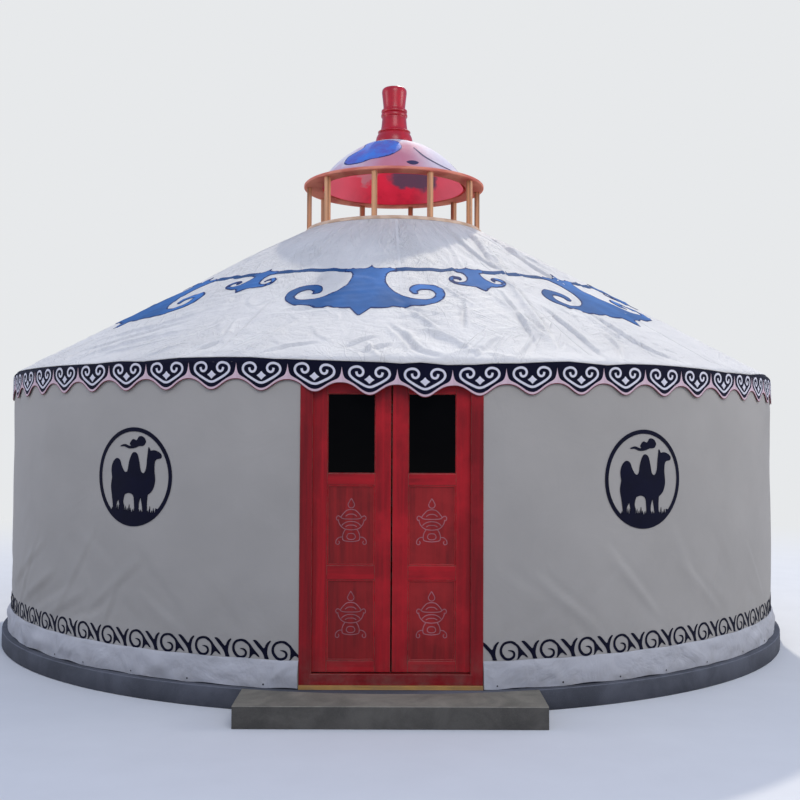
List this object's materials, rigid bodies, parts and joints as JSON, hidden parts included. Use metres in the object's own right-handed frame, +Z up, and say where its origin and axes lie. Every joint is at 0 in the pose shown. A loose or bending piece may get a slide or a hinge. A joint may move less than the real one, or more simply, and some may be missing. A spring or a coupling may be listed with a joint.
{
  "type": "yurt",
  "caption": "Round yurt on a low plinth, with canvas wall, conical roof, scalloped valance, open lantern, small dome and turned finial, and double panelled doors that open inward.",
  "frame": {"origin": "centre of the round plinth's underside, on the ground", "axes": "+Z up along the yurt's upright axis, -Y out through the doors, +X to the right seen from the front"},
  "size_m": [6.126, 6.4078, 4.4992],
  "materials": {
    "plinth_stone": "rough dressed",
    "step_concrete": "trowelled",
    "wall_canvas": "woven canvas over felt",
    "skirt_canvas": "woven canvas",
    "roof_canvas": "woven canvas over felt",
    "valance_cloth": "applique cloth",
    "frame_wood": "planed",
    "varnished_wood": "varnished",
    "rim_paint": "painted",
    "dome_cloth": "woven canvas",
    "red_lining": "plain cloth",
    "finial_lacquer": "lacquered",
    "ochre_board": "painted",
    "door_red": "painted",
    "door_panel_red": "painted",
    "pane_glass": "clear",
    "hinge_steel": "painted"
  },
  "bodies": {
    "yurt": {"plinth": "plinth_stone", "front_step": "step_concrete", "skirt_left": "skirt_canvas", "skirt_right": "skirt_canvas", "crown_ring": "frame_wood", "lantern_foot_ring": "varnished_wood", "lantern_posts": "varnished_wood", "lantern_rim": "rim_paint", "dome_cover": "dome_cloth", "dome_frame": "frame_wood", "dome_lining": "red_lining", "finial": "finial_lacquer", "threshold_board": "ochre_board", "door_sill": "door_red", "door_head": "door_red", "hinge_frame_halves": "hinge_steel", "roof_poles_right": "frame_wood", "roof_poles_left": "frame_wood", "wall_cover_1": "wall_canvas", "wall_cover_2": "wall_canvas", "wall_cover_3": "wall_canvas", "wall_cover_4": "wall_canvas", "wall_cover_5": "wall_canvas", "wall_cover_6": "wall_canvas", "wall_lattice_1": "frame_wood", "valance_1": "valance_cloth", "roof_cover_1": "roof_canvas", "wall_lattice_2": "frame_wood", "valance_2": "valance_cloth", "roof_cover_2": "roof_canvas", "wall_lattice_3": "frame_wood", "valance_3": "valance_cloth", "roof_cover_3": "roof_canvas", "wall_lattice_4": "frame_wood", "valance_4": "valance_cloth", "roof_cover_4": "roof_canvas", "left_jamb": "door_red", "right_jamb": "door_red"},
    "left_door": {"left_leaf": "door_red", "left_leaf_panels": "door_panel_red", "left_leaf_pane": "pane_glass", "left_hinge_leaf_halves": "hinge_steel"},
    "right_door": {"right_leaf": "door_red", "right_leaf_panels": "door_panel_red", "right_leaf_pane": "pane_glass", "right_hinge_leaf_halves": "hinge_steel"}
  },
  "joints": [
    {"name": "left_door_hinge", "type": "hinge", "parent": "yurt", "child": "left_door", "pos_m": [-0.4645, -2.883, 0.211], "axis": [0, 0, 1], "range_deg": [0, 100]},
    {"name": "right_door_hinge", "type": "hinge", "parent": "yurt", "child": "right_door", "pos_m": [0.4645, -2.883, 0.211], "axis": [0, 0, -1], "range_deg": [0, 100]}
  ]
}
